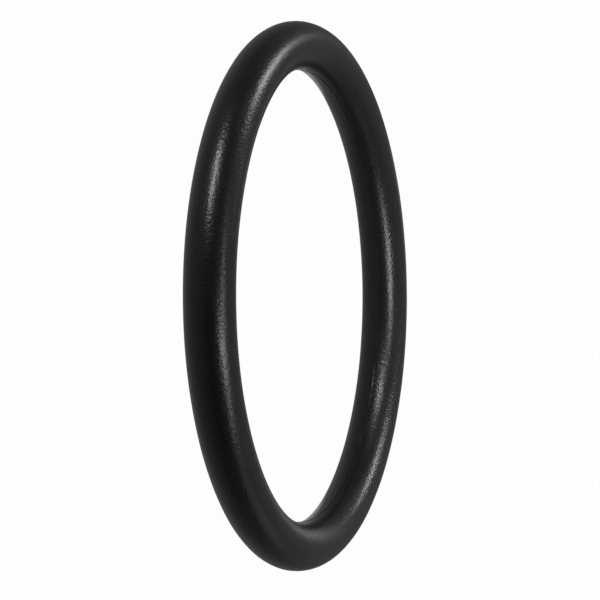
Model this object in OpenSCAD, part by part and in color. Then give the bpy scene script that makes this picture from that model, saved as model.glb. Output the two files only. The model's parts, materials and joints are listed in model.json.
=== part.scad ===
// Moulded rubber sealing ring, lying flat. Its centre is the origin and its axis is +Z.

/* [Ring] */
// Inside diameter, which sizes the ring for a shaft or a groove
inside_d = 46; // [12:0.5:150]
// Diameter of the round section
section_d = 5; // [2:0.1:10]

/* [Parting line] */
// Width of the flash line left on the inside, where the mould halves met
flash_w = 0.2; // [0.1:0.05:0.5]
// Height that the inside flash line stands proud of the round section
flash_h = 0.05; // [0.02:0.01:0.15]
// Width of the narrow land left on the outside, where the flash was ground flush
land_w = 0.3; // [0.1:0.05:0.6]

/* [Hidden] */

section_r = section_d / 2;
// Radius of the circle that the middle of the section runs along
mean_r = inside_d / 2 + section_r;
// Distance from the middle of the section out to the ground land
land_x = sqrt(section_r * section_r - land_w * land_w / 4);

// Facets around the ring and around its section, where curves are drawn as facets
ring_facets = 360;
section_facets = 72;

// The round section, cut straight over the width of the ground land
module ground_round() {
    intersection() {
        circle(r = section_r, $fn = section_facets);
        translate([-section_r, -section_r])
            square([section_r + land_x, section_d]);
    }
}

// The flash line, rooted in the middle of the section and facing the ring's axis
module flash_line() {
    translate([-section_r - flash_h, -flash_w / 2])
        square([section_r + flash_h, flash_w]);
}

module o_ring() {
    color("#2b2b2c")
    rotate_extrude($fn = ring_facets)
        translate([mean_r, 0]) {
            ground_round();
            flash_line();
        }
}

o_ring();
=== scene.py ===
"""Finish, light and camera for a moulded rubber sealing ring that lies flat on a white sheet.

The ring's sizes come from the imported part's mounts. Lengths are in metres where Blender
reads them, and the fields that hold millimetres or degrees say so in their names.
"""

import json
import logging
import math
from dataclasses import dataclass
from dataclasses import field
from enum import Enum
from typing import Any

import bpy
from mathutils import Matrix
from mathutils import Vector
from mathutils import noise


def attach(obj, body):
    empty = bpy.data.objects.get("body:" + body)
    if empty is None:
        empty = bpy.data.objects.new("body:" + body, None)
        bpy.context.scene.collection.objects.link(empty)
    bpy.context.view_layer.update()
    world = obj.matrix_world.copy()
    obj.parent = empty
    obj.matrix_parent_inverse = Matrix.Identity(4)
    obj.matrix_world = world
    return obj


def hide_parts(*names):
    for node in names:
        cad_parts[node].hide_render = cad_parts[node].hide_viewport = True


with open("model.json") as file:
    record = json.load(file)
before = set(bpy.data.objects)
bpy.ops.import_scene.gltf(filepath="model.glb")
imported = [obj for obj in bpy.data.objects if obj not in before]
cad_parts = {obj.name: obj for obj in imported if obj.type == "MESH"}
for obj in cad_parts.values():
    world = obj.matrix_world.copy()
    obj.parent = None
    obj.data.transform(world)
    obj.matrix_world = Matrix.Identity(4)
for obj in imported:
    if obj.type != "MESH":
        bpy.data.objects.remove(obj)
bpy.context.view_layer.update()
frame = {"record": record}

MM = 0.001
PICTURE_PX = 600
RING_NODE = "o_ring"
BODY = "root"
BAKE_MAP = "OFBake"

log = logging.getLogger("sealing_ring")


class Zone(Enum):
    """A stretch of the ring's section, by how its surface was made.

    The value is the index of its material.
    """

    MOULDED = 0
    FLASH = 1
    GROUND = 2


class Seen(Enum):
    """Kinds of ray that the paper tells apart, by the name of Blender's output."""

    CAMERA = "Is Camera Ray"
    GLOSSY = "Is Glossy Ray"
    TRANSMISSION = "Is Transmission Ray"


def linear(hex_colour: str) -> tuple[float, float, float, float]:
    """Turns an sRGB colour into Blender's linear one.

    Args:
        hex_colour: six hex digits after a hash sign.

    Returns:
        Red, green, blue and an alpha of 1.
    """
    channels = [int(hex_colour[i:i + 2], 16) / 255 for i in (1, 3, 5)]
    toned = [c / 12.92 if c <= 0.04045 else ((c + 0.055) / 1.055) ** 2.4 for c in channels]
    return (*toned, 1.0)


def add_node(
    tree: bpy.types.NodeTree,
    kind: str,
    settings: dict[str, Any] | None = None,
    inputs: dict[str | int, Any] | None = None,
) -> bpy.types.Node:
    """Adds one node, sets it up and joins it to others.

    Args:
        tree: the node tree that gets the node.
        kind: Blender's name of the node's type.
        settings: properties of the node itself.
        inputs: a value, or another node's output socket, for each input named.

    Returns:
        The new node.
    """
    node = tree.nodes.new(kind)
    for name, value in (settings or {}).items():
        setattr(node, name, value)
    for name, value in (inputs or {}).items():
        if isinstance(value, bpy.types.NodeSocket):
            tree.links.new(value, node.inputs[name])
        else:
            node.inputs[name].default_value = value
    return node


def empty_tree(owner: bpy.types.Material | bpy.types.World) -> bpy.types.NodeTree:
    """Turns nodes on for a material or a world and clears what it starts with.

    Args:
        owner: the material or the world.

    Returns:
        Its node tree, with nothing in it.
    """
    owner.use_nodes = True
    owner.node_tree.nodes.clear()
    return owner.node_tree


def seen_by(tree: bpy.types.NodeTree, kinds: tuple[Seen, ...]) -> bpy.types.NodeSocket:
    """Gives 1 for the kinds of ray named and 0 for the others.

    Args:
        tree: the node tree of a material.
        kinds: the kinds of ray, no two of which hold at once.

    Returns:
        The output socket with the number.
    """
    path = add_node(tree, "ShaderNodeLightPath")
    total = path.outputs[kinds[0].value]
    for kind in kinds[1:]:
        both = add_node(tree, "ShaderNodeMath", {"operation": "ADD", "use_clamp": True}, {
            0: total, 1: path.outputs[kind.value]})
        total = both.outputs[0]
    return total


@dataclass(frozen=True)
class CarbonBlackRubber:
    """Nitrile rubber filled with carbon black, which is close to black all through.

    The mould was blasted with fine grit, so the rubber comes out satin: soft-edged
    highlights that break into specks where the light only just reaches the eye.
    """

    name: str
    dark_hex: str = "#101011"
    pale_hex: str = "#161617"
    roughness: float = 0.31
    roughness_swing: float = 0.04
    refraction: float = 1.52
    # Matched to the photograph: the blasted pits mirror less than a smooth skin would.
    shine: float = 0.30
    # Slow change from spot to spot, between these two levels of the noise.
    mottle_mm: float = 2.6
    mottle_low: float = 0.3
    mottle_high: float = 0.7
    # Blasting leaves a grain of 0.05 to 0.1 mm. It is drawn coarser, because a pixel is 0.1 mm.
    grain_mm: float = 0.24
    grain_depth_mm: float = 0.0215
    # Slight unevenness of the cured skin, which makes a highlight's edge wander.
    skin_mm: float = 0.9
    skin_depth_mm: float = 0.006

    def make(self) -> bpy.types.Material:
        """Builds the material.

        Returns:
            The finished material.
        """
        material = bpy.data.materials.new(self.name)
        tree = empty_tree(material)
        place = add_node(tree, "ShaderNodeTexCoord").outputs["Object"]
        mottle = add_node(tree, "ShaderNodeTexNoise", inputs={
            "Vector": place, "Scale": 1 / (self.mottle_mm * MM), "Detail": 3.0, "Roughness": 0.6})
        grain = add_node(tree, "ShaderNodeTexNoise", inputs={
            "Vector": place, "Scale": 1 / (self.grain_mm * MM), "Detail": 0.0})
        skin = add_node(tree, "ShaderNodeTexNoise", inputs={
            "Vector": place, "Scale": 1 / (self.skin_mm * MM), "Detail": 1.0, "Roughness": 0.5})
        colour = add_node(tree, "ShaderNodeMix", {"data_type": "RGBA"}, {
            "Factor": mottle.outputs["Fac"],
            "A": linear(self.dark_hex),
            "B": linear(self.pale_hex)})
        rough = add_node(tree, "ShaderNodeMapRange", inputs={
            "Value": mottle.outputs["Fac"],
            "From Min": self.mottle_low,
            "From Max": self.mottle_high,
            "To Min": self.roughness - self.roughness_swing / 2,
            "To Max": self.roughness + self.roughness_swing / 2})
        uneven = add_node(tree, "ShaderNodeBump", inputs={
            "Height": skin.outputs["Fac"],
            "Distance": self.skin_depth_mm * MM,
            "Strength": 1.0})
        grained = add_node(tree, "ShaderNodeBump", inputs={
            "Height": grain.outputs["Fac"],
            "Distance": self.grain_depth_mm * MM,
            "Strength": 1.0,
            "Normal": uneven.outputs["Normal"]})
        shader = add_node(tree, "ShaderNodeBsdfPrincipled", inputs={
            "Base Color": colour.outputs["Result"],
            "Roughness": rough.outputs["Result"],
            "IOR": self.refraction,
            "Specular IOR Level": self.shine,
            "Normal": grained.outputs["Normal"]})
        add_node(tree, "ShaderNodeOutputMaterial", inputs={"Surface": shader.outputs["BSDF"]})
        return material


@dataclass(frozen=True)
class LitNylon:
    """White nylon of a light tent, lit from outside: bright overhead and dim low down.

    The rubber mirrors it as soft grey bands that shade into one another.
    """

    name: str
    # Glow low down at the sides, and how much more or less it is beyond the ring or before it.
    low_glow: float = 0.109
    far_glow: float = 0.08
    top_glow: float = 0.405
    # How far the bright top leans to the far side, and the heights between which it fades in.
    lean: float = 0.24
    fade_from: float = 0.498
    fade_to: float = 1.29

    def make(self) -> bpy.types.Material:
        """Builds the material.

        Returns:
            The finished material.
        """
        material = bpy.data.materials.new(self.name)
        tree = empty_tree(material)
        place = add_node(tree, "ShaderNodeTexCoord").outputs["Object"]
        way = add_node(tree, "ShaderNodeVectorMath", {"operation": "NORMALIZE"}, {0: place})
        height = add_node(tree, "ShaderNodeVectorMath", {"operation": "DOT_PRODUCT"}, {
            0: way.outputs["Vector"], 1: (0.0, self.lean, 1.0)})
        side = add_node(tree, "ShaderNodeVectorMath", {"operation": "DOT_PRODUCT"}, {
            0: way.outputs["Vector"], 1: (0.0, self.far_glow, 0.0)})
        low = add_node(tree, "ShaderNodeMath", {"operation": "ADD"}, {
            0: side.outputs["Value"], 1: self.low_glow})
        top = add_node(tree, "ShaderNodeMapRange", {"interpolation_type": "SMOOTHSTEP"}, {
            "Value": height.outputs["Value"],
            "From Min": self.fade_from,
            "From Max": self.fade_to,
            "To Min": 0.0,
            "To Max": self.top_glow})
        glow = add_node(tree, "ShaderNodeMath", {"operation": "ADD"}, {
            0: low.outputs[0], 1: top.outputs["Result"]})
        shader = add_node(tree, "ShaderNodeEmission", inputs={"Strength": glow.outputs[0]})
        add_node(tree, "ShaderNodeOutputMaterial", inputs={"Surface": shader.outputs[0]})
        return material


@dataclass(frozen=True)
class WhiteSheet:
    """Matt white paper, which the camera sees almost wholly as plain white.

    The rest is the paper as the lamps light it, which keeps a trace of the ring's shadow.
    Mirrored rays see no lit paper but a painted reflection of it, a glow set much darker:
    almost black at a slant and grey from straight above.
    """

    name: str
    # Low for paper, so that it throws little of the close lamps' light up at the ring.
    hex_colour: str = "#707070"
    white_share: float = 0.985
    # Painted reflection: the glow that mirrored rays see in place of the paper, at a slant and
    # from above.
    painted_reflection_at_slant: float = 0.115
    painted_reflection_from_above: float = 0.43
    # Painted reflection: inside the ring the paper's glow in mirrored rays is brighter at both
    # ends, where the inner wall mirrors it at a glance. The ring's underside hides its edge.
    painted_patch_lift: float = 2.3
    painted_patch_from_mm: float = 20.4
    painted_patch_to_mm: float = 22.2
    inside_r_mm: float = 24.5
    outside_r_mm: float = 26.5

    def make(self) -> bpy.types.Material:
        """Builds the material.

        Returns:
            The finished material.
        """
        material = bpy.data.materials.new(self.name)
        tree = empty_tree(material)
        paper = add_node(tree, "ShaderNodeBsdfDiffuse", inputs={"Color": linear(self.hex_colour)})
        white = add_node(tree, "ShaderNodeEmission", inputs={"Strength": 1.0})
        share = add_node(tree, "ShaderNodeMath", {"operation": "MULTIPLY"}, {
            0: seen_by(tree, (Seen.CAMERA, Seen.TRANSMISSION)), 1: self.white_share})
        seen = add_node(tree, "ShaderNodeMixShader", inputs={
            "Fac": share.outputs[0], 1: paper.outputs[0], 2: white.outputs[0]})
        # Painted reflection: mirrored rays see this glow in place of the paper.
        mirrored = add_node(tree, "ShaderNodeEmission", inputs={
            "Strength": self.painted_reflection_brightness(tree)})
        both = add_node(tree, "ShaderNodeMixShader", inputs={
            "Fac": seen_by(tree, (Seen.GLOSSY,)), 1: seen.outputs[0], 2: mirrored.outputs[0]})
        add_node(tree, "ShaderNodeOutputMaterial", inputs={"Surface": both.outputs[0]})
        return material

    def painted_reflection_brightness(self, tree: bpy.types.NodeTree) -> bpy.types.NodeSocket:
        """Works out the painted reflection's brightness in mirrored rays, by slant and by place.

        Args:
            tree: the paper's node tree.

        Returns:
            The output socket with the brightness.
        """
        slant = add_node(tree, "ShaderNodeLayerWeight", inputs={"Blend": 0.5})
        brightness = add_node(tree, "ShaderNodeMapRange", inputs={
            "Value": slant.outputs["Facing"],
            "To Min": self.painted_reflection_from_above,
            "To Max": self.painted_reflection_at_slant})
        place = add_node(tree, "ShaderNodeTexCoord").outputs["Object"]
        axes = add_node(tree, "ShaderNodeSeparateXYZ", inputs={"Vector": place})
        lengthwise = add_node(tree, "ShaderNodeMath", {"operation": "ABSOLUTE"}, {
            0: axes.outputs["X"]})
        radius = add_node(tree, "ShaderNodeVectorMath", {"operation": "LENGTH"}, {0: place})
        # Painted brighter patch at both ends inside the ring, which only reflections show.
        painted_patch_by_end = add_node(tree, "ShaderNodeMapRange", {"interpolation_type": "SMOOTHSTEP"}, {
            "Value": lengthwise.outputs[0],
            "From Min": self.painted_patch_from_mm * MM,
            "From Max": self.painted_patch_to_mm * MM,
            "To Min": 0.0,
            "To Max": self.painted_patch_lift})
        inside = add_node(tree, "ShaderNodeMapRange", {"interpolation_type": "SMOOTHSTEP"}, {
            "Value": radius.outputs["Value"],
            "From Min": self.inside_r_mm * MM,
            "From Max": self.outside_r_mm * MM,
            "To Min": 1.0,
            "To Max": 0.0})
        lift = add_node(tree, "ShaderNodeMath", {"operation": "MULTIPLY_ADD"}, {
            0: painted_patch_by_end.outputs["Result"], 1: inside.outputs["Result"], 2: 1.0})
        lifted = add_node(tree, "ShaderNodeMath", {"operation": "MULTIPLY"}, {
            0: brightness.outputs["Result"], 1: lift.outputs[0]})
        return lifted.outputs[0]


@dataclass(frozen=True)
class RingSizes:
    """The ring's sizes in millimetres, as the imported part's mounts give them."""

    section_r_mm: float
    mean_r_mm: float
    inside_r_mm: float
    flash_w_mm: float
    land_w_mm: float

    @classmethod
    def from_record(cls, record: dict[str, Any]) -> "RingSizes":
        """Reads the sizes.

        Args:
            record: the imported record.

        Returns:
            The ring's sizes.
        """
        mounts = {mount["name"]: mount for mount in record["mounts"]}
        return cls(
            section_r_mm=mounts["upper_seal_line"]["pos_m"][2] / MM,
            mean_r_mm=mounts["upper_seal_line"]["dims"]["pcd_mm"] / 2,
            inside_r_mm=mounts["inside_seat"]["dims"]["r_mm"],
            flash_w_mm=mounts["inside_seat"]["dims"]["length_mm"],
            land_w_mm=mounts["outside_seat"]["dims"]["length_mm"],
        )

    @property
    def flash_h_mm(self) -> float:
        """Height of the flash line above the round section."""
        return self.mean_r_mm - self.section_r_mm - self.inside_r_mm


@dataclass
class SealingRing:
    """The moulded ring: its round section, the flash line inside and the ground land outside."""

    sizes: RingSizes
    steps_round: int = 720
    steps_half_section: int = 62
    steps_flash: int = 8
    # The flash line is flat on top and falls off steeply at its sides.
    flash_fullness: int = 4
    # The cured surface falls a little short of true, in waves of this height either way and
    # of this length. Finer ones run among them, at these shares of their height and length.
    stray_mm: float = 0.012
    wave_mm: float = 5.5
    fine_height: float = 0.35
    fine_length: float = 0.37
    fine_shift: tuple[float, float, float] = (7.0, 3.0, 5.0)
    # The trimmed flash is ragged: its height falls away in most places, over this length.
    ragged_share: float = 0.95
    ragged_mm: float = 1.8
    ragged_bias: float = 0.85
    ragged_level: float = 11.0
    rows_in_map: int = 3
    finishes: tuple[CarbonBlackRubber, ...] = field(default_factory=lambda: (
        CarbonBlackRubber("moulded nitrile rubber"),
        # Cut rubber is a little matter than what the mould left, and has no blasted grain.
        CarbonBlackRubber(
            "trimmed nitrile flash", roughness=0.46, shine=0.2, grain_depth_mm=0.01),
        CarbonBlackRubber("ground nitrile rubber", roughness=0.34),
    ))

    def section(self) -> list[tuple[float, float, Zone]]:
        """Works out the section's outline, counter-clockwise from the top of the ground land.

        Returns:
            For each point its distance outwards from the section's middle and its height, in
            millimetres, and the zone of the stretch that starts there.
        """
        size = self.sizes
        r = size.section_r_mm
        land_turn = math.asin(size.land_w_mm / 2 / r)
        flash_turn = math.asin(size.flash_w_mm / 2 / r)
        arc = math.pi - land_turn - flash_turn
        upper = []
        for i in range(self.steps_half_section + 1):
            turn = land_turn + arc * i / self.steps_half_section
            upper.append((r * math.cos(turn), r * math.sin(turn)))
        crown = []
        for i in range(1, self.steps_flash):
            height = size.flash_w_mm * (0.5 - i / self.steps_flash)
            off_middle = 2 * height / size.flash_w_mm
            rise = size.flash_h_mm * (1 - off_middle ** self.flash_fullness)
            crown.append((-math.sqrt(r * r - height * height) - rise, height))
        lower = [(x, -z) for x, z in reversed(upper)]
        points = [(x, z, Zone.MOULDED) for x, z in upper[:-1]]
        points += [(x, z, Zone.FLASH) for x, z in upper[-1:] + crown]
        points += [(x, z, Zone.MOULDED) for x, z in lower[:-1]]
        points.append((*lower[-1], Zone.GROUND))
        return points

    def strays(self, place: Vector) -> float:
        """Gives how far the cured surface stands off its true form at a place.

        Args:
            place: a point in millimetres.

        Returns:
            The distance outwards in millimetres, which is never above 0.
        """
        broad = noise.noise(place / self.wave_mm)
        fine = noise.noise(place / (self.wave_mm * self.fine_length) + Vector(self.fine_shift))
        return self.stray_mm * (broad + self.fine_height * fine - 1 - self.fine_height)

    def flash_left(self, turn: float) -> float:
        """Gives the share of the flash line's height that the trimming left at a place.

        Args:
            turn: the angle round the ring.

        Returns:
            A share from 0 to 1.
        """
        reach = self.sizes.inside_r_mm / self.ragged_mm
        place = Vector((reach * math.cos(turn), reach * math.sin(turn), self.ragged_level))
        trimmed = min(1.0, max(0.0, self.ragged_bias + noise.noise(place)))
        return 1 - self.ragged_share * trimmed

    def build_mesh(self) -> bpy.types.Mesh:
        """Sweeps the section round the axis.

        Returns:
            The closed mesh, with its zones as material indices and an unrolled map.
        """
        size = self.sizes
        outline = self.section()
        r = size.section_r_mm
        vertices = []
        for i in range(self.steps_round):
            turn = 2 * math.pi * i / self.steps_round
            outwards = Vector((math.cos(turn), math.sin(turn), 0.0))
            left = self.flash_left(turn)
            for x, z, zone in outline:
                reach = math.hypot(x, z)
                trimmed = r + (reach - r) * left if zone is Zone.FLASH else reach
                true = (outwards * x + Vector((0.0, 0.0, z))) / reach
                place = outwards * size.mean_r_mm + true * trimmed
                vertices.append((place + true * self.strays(place)) * MM)
        count = len(outline)
        faces = []
        zones = []
        for i in range(self.steps_round):
            near = i * count
            far = (i + 1) % self.steps_round * count
            for j in range(count):
                after = (j + 1) % count
                faces.append((near + j, far + j, far + after, near + after))
                zones.append(outline[j][2].value)
        mesh = bpy.data.meshes.new(RING_NODE)
        mesh.from_pydata(vertices, [], faces)
        mesh.polygons.foreach_set("material_index", zones)
        mesh.polygons.foreach_set("use_smooth", [True] * len(faces))
        self.unroll(mesh, outline)
        mesh.update()
        return mesh

    def unroll(self, mesh: bpy.types.Mesh, outline: list[tuple[float, float, Zone]]) -> None:
        """Gives the mesh a map on which the ring lies unrolled, in rows that fill a square.

        Args:
            mesh: the swept mesh, whose faces run round the section and then round the ring.
            outline: the section's points.
        """
        turned = [math.atan2(z, x) % (2 * math.pi) / (2 * math.pi) for x, z, _ in outline]
        first = turned[0]
        across = [(t - first) % 1.0 for t in turned] + [1.0]
        layer = mesh.uv_layers.new(name=BAKE_MAP)
        steps_in_row = self.steps_round // self.rows_in_map
        places = []
        for i in range(self.steps_round):
            row, step = divmod(i, steps_in_row)
            for j in range(len(outline)):
                for along, over in ((step, j), (step + 1, j), (step + 1, j + 1), (step, j + 1)):
                    places += (along / steps_in_row, (row + across[over]) / self.rows_in_map)
        layer.uv.foreach_set("vector", places)

    def build(self) -> bpy.types.Object:
        """Builds the dressed ring in the place of its plain solid.

        Returns:
            The ring.
        """
        ring = bpy.data.objects.new("moulded_ring", self.build_mesh())
        bpy.context.scene.collection.objects.link(ring)
        for finish in self.finishes:
            ring.data.materials.append(finish.make())
        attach(ring, BODY)
        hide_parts(RING_NODE)
        log.info("%s: %d faces", ring.name, len(ring.data.polygons))
        return ring


@dataclass(frozen=True)
class SoftLamp:
    """An oblong softbox, whose grid keeps its light on the part of the ring that it faces.

    Azimuth 0 lies beyond the ring, as the camera looks, and 90 towards the picture's lower
    edge. The brightness is the radiance that its middle shows straight ahead.
    """

    name: str
    aim_mm: tuple[float, float, float]
    azimuth_deg: float
    elevation_deg: float
    distance_mm: float
    width_mm: float
    height_mm: float
    roll_deg: float
    grid_deg: float
    brightness: float

    def energy(self) -> float:
        """Works out the power that gives the brightness, as the grid gathers the light.

        Returns:
            The power in watts.
        """
        half = math.radians(self.grid_deg / 2)
        gathered = math.tan(half) / (math.tan(half) - half)
        return self.brightness * math.pi * self.width_mm * self.height_mm * MM * MM / gathered

    def build(self) -> bpy.types.Object:
        """Builds the lamp, which the camera looks past.

        Returns:
            The lamp.
        """
        turn = math.radians(self.azimuth_deg)
        rise = math.radians(self.elevation_deg)
        level = math.cos(rise)
        back = Vector((math.sin(turn) * level, math.cos(turn) * level, math.sin(rise)))
        data = bpy.data.lights.new(self.name, "AREA")
        data.shape = "RECTANGLE"
        data.size = self.width_mm * MM
        data.size_y = self.height_mm * MM
        data.spread = math.radians(self.grid_deg)
        data.energy = self.energy()
        lamp = bpy.data.objects.new(self.name, data)
        lamp.visible_camera = False
        lamp.location = (Vector(self.aim_mm) + back * self.distance_mm) * MM
        turned = (-back).to_track_quat("-Z", "Y").to_matrix()
        rolled = turned @ Matrix.Rotation(math.radians(self.roll_deg), 3, "Z")
        lamp.rotation_euler = rolled.to_euler()
        bpy.context.scene.collection.objects.link(lamp)
        log.info("%s: %.4f W", self.name, data.energy)
        return lamp


# No one lamp could give the highlights of both arms in the photograph, so each arm has its
# own: a strip beyond it, a low one and a high one on the camera's side, and a weak fill.
STUDIO_LAMPS = (
    SoftLamp(
        "near_arm_strip", aim_mm=(-22.0, -15.2, 2.2),
        azimuth_deg=-40.2, elevation_deg=38.5, distance_mm=110.0,
        width_mm=72.2, height_mm=19.7, roll_deg=39.2, grid_deg=34.0, brightness=17.1),
    SoftLamp(
        "far_arm_strip", aim_mm=(18.9, 15.0, 2.1),
        azimuth_deg=-44.6, elevation_deg=47.1, distance_mm=110.0,
        width_mm=51.1, height_mm=7.9, roll_deg=33.5, grid_deg=34.5, brightness=38.5),
    SoftLamp(
        "near_arm_low", aim_mm=(-11.5, -25.4, 0.6),
        azimuth_deg=-132.4, elevation_deg=1.6, distance_mm=55.0,
        width_mm=30.9, height_mm=7.0, roll_deg=0.0, grid_deg=41.3, brightness=50.0),
    SoftLamp(
        "far_arm_low", aim_mm=(10.7, 20.6, 1.0),
        azimuth_deg=-127.6, elevation_deg=25.0, distance_mm=70.0,
        width_mm=6.2, height_mm=23.4, roll_deg=19.3, grid_deg=64.0, brightness=50.0),
    SoftLamp(
        "near_arm_top", aim_mm=(4.3, -26.9, 1.8),
        azimuth_deg=142.0, elevation_deg=66.7, distance_mm=90.0,
        width_mm=7.6, height_mm=26.8, roll_deg=-68.9, grid_deg=78.4, brightness=32.5),
    SoftLamp(
        "far_arm_top", aim_mm=(-2.6, 23.2, 1.3),
        azimuth_deg=165.6, elevation_deg=48.4, distance_mm=90.0,
        width_mm=116.9, height_mm=11.1, roll_deg=-14.5, grid_deg=85.6, brightness=27.5),
    SoftLamp(
        "near_arm_fill", aim_mm=(21.1, -17.3, 1.8),
        azimuth_deg=64.4, elevation_deg=36.6, distance_mm=120.0,
        width_mm=101.2, height_mm=41.9, roll_deg=-28.9, grid_deg=110.0, brightness=0.44),
    SoftLamp(
        "far_arm_fill", aim_mm=(24.0, -1.6, 2.0),
        azimuth_deg=-10.5, elevation_deg=9.4, distance_mm=120.0,
        width_mm=50.6, height_mm=32.8, roll_deg=-5.2, grid_deg=27.8, brightness=1.06),
)


@dataclass
class Studio:
    """The white sheet, the light tent over it, the lamps in the tent and the white room."""

    sheet_z_mm: float
    sheet_span_mm: float = 4000.0
    tent_r_mm: float = 900.0
    tent_steps_round: int = 64
    tent_steps_up: int = 24
    lamps: tuple[SoftLamp, ...] = STUDIO_LAMPS

    def build_sheet(self) -> bpy.types.Object:
        """Lays the sheet under the ring.

        Returns:
            The sheet.
        """
        half = self.sheet_span_mm / 2 * MM
        z = self.sheet_z_mm * MM
        corners = [(-half, -half, z), (half, -half, z), (half, half, z), (-half, half, z)]
        mesh = bpy.data.meshes.new("white_sheet")
        mesh.from_pydata(corners, [], [(0, 1, 2, 3)])
        mesh.materials.append(WhiteSheet("matt white paper").make())
        sheet = bpy.data.objects.new("white_sheet", mesh)
        bpy.context.scene.collection.objects.link(sheet)
        log.info("%s: %.1f m wide", sheet.name, self.sheet_span_mm * MM)
        return sheet

    def build_tent(self) -> bpy.types.Object:
        """Sets the domed tent over the ring. The camera looks through it.

        Returns:
            The tent.
        """
        foot = Vector((0.0, 0.0, self.sheet_z_mm))
        vertices = []
        for up in range(self.tent_steps_up + 1):
            rise = math.pi / 2 * up / self.tent_steps_up
            for step in range(self.tent_steps_round):
                turn = 2 * math.pi * step / self.tent_steps_round
                level = math.cos(rise)
                way = Vector((level * math.cos(turn), level * math.sin(turn), math.sin(rise)))
                vertices.append((way * self.tent_r_mm + foot) * MM)
        faces = []
        for up in range(self.tent_steps_up):
            low = up * self.tent_steps_round
            high = low + self.tent_steps_round
            for step in range(self.tent_steps_round):
                after = (step + 1) % self.tent_steps_round
                faces.append((low + step, low + after, high + after, high + step))
        mesh = bpy.data.meshes.new("light_tent")
        mesh.from_pydata(vertices, [], faces)
        mesh.materials.append(LitNylon("lit white nylon").make())
        tent = bpy.data.objects.new("light_tent", mesh)
        tent.visible_camera = False
        bpy.context.scene.collection.objects.link(tent)
        log.info("%s: %d faces", tent.name, len(mesh.polygons))
        return tent

    def build_room(self) -> bpy.types.World:
        """Surrounds the tent with plain white.

        Returns:
            The world.
        """
        world = bpy.data.worlds.new("white_room")
        bpy.context.scene.world = world
        tree = empty_tree(world)
        white = add_node(tree, "ShaderNodeBackground", inputs={
            "Strength": 1.0, "Color": linear("#FFFFFF")})
        add_node(tree, "ShaderNodeOutputWorld", inputs={"Surface": white.outputs[0]})
        log.info("%s: plain white", world.name)
        return world

    def build(self) -> None:
        """Builds everything round the ring."""
        self.build_sheet()
        self.build_tent()
        self.build_room()
        for lamp in self.lamps:
            lamp.build()


@dataclass(frozen=True)
class PhotoCamera:
    """The photograph's camera, as its outline of the ring gives it.

    The ring stands on edge in the photograph. Here it lies flat, so the camera looks down on
    it from the same side and is rolled a quarter turn, which gives the same picture.
    """

    elevation_deg: float = 20.49
    lean_deg: float = 0.106
    distance_mm: float = 264.17
    focal_px: float = 2585.1
    centre_right_px: float = 4.99
    centre_up_px: float = 3.96
    sensor_mm: float = 36.0

    def build(self) -> bpy.types.Object:
        """Builds the camera and makes it the scene's.

        Returns:
            The camera.
        """
        rise = math.radians(self.elevation_deg)
        lean = math.radians(self.lean_deg)
        level = math.cos(lean)
        # The world's axes in the camera's own: X down the picture, Y away, Z to the right.
        axis = Vector((math.cos(rise) * level, math.sin(lean), math.sin(rise) * level))
        away = Vector((0.0, 1.0, 0.0)).cross(axis).normalized()
        turned = Matrix((away.cross(axis), away, axis))
        scale = self.distance_mm / self.focal_px
        right = self.centre_right_px * scale
        up = self.centre_up_px * scale
        centre = Vector((right, up, -self.distance_mm)) * MM
        data = bpy.data.cameras.new("photo_camera")
        data.sensor_width = self.sensor_mm
        data.lens = self.focal_px / PICTURE_PX * self.sensor_mm
        camera = bpy.data.objects.new("photo_camera", data)
        camera.matrix_world = Matrix.Translation(-(turned @ centre)) @ turned.to_4x4()
        bpy.context.scene.collection.objects.link(camera)
        bpy.context.scene.camera = camera
        log.info("%s: %.1f mm lens", camera.name, data.lens)
        return camera


def main() -> None:
    """Builds the camera, the ring and the studio, in that order."""
    logging.basicConfig(level=logging.INFO, format="%(name)s %(message)s")
    bpy.context.scene.view_settings.view_transform = "Standard"
    PhotoCamera().build()
    sizes = RingSizes.from_record(frame["record"])
    SealingRing(sizes).build()
    Studio(sheet_z_mm=-sizes.section_r_mm).build()


if __name__ == "__main__":
    main()
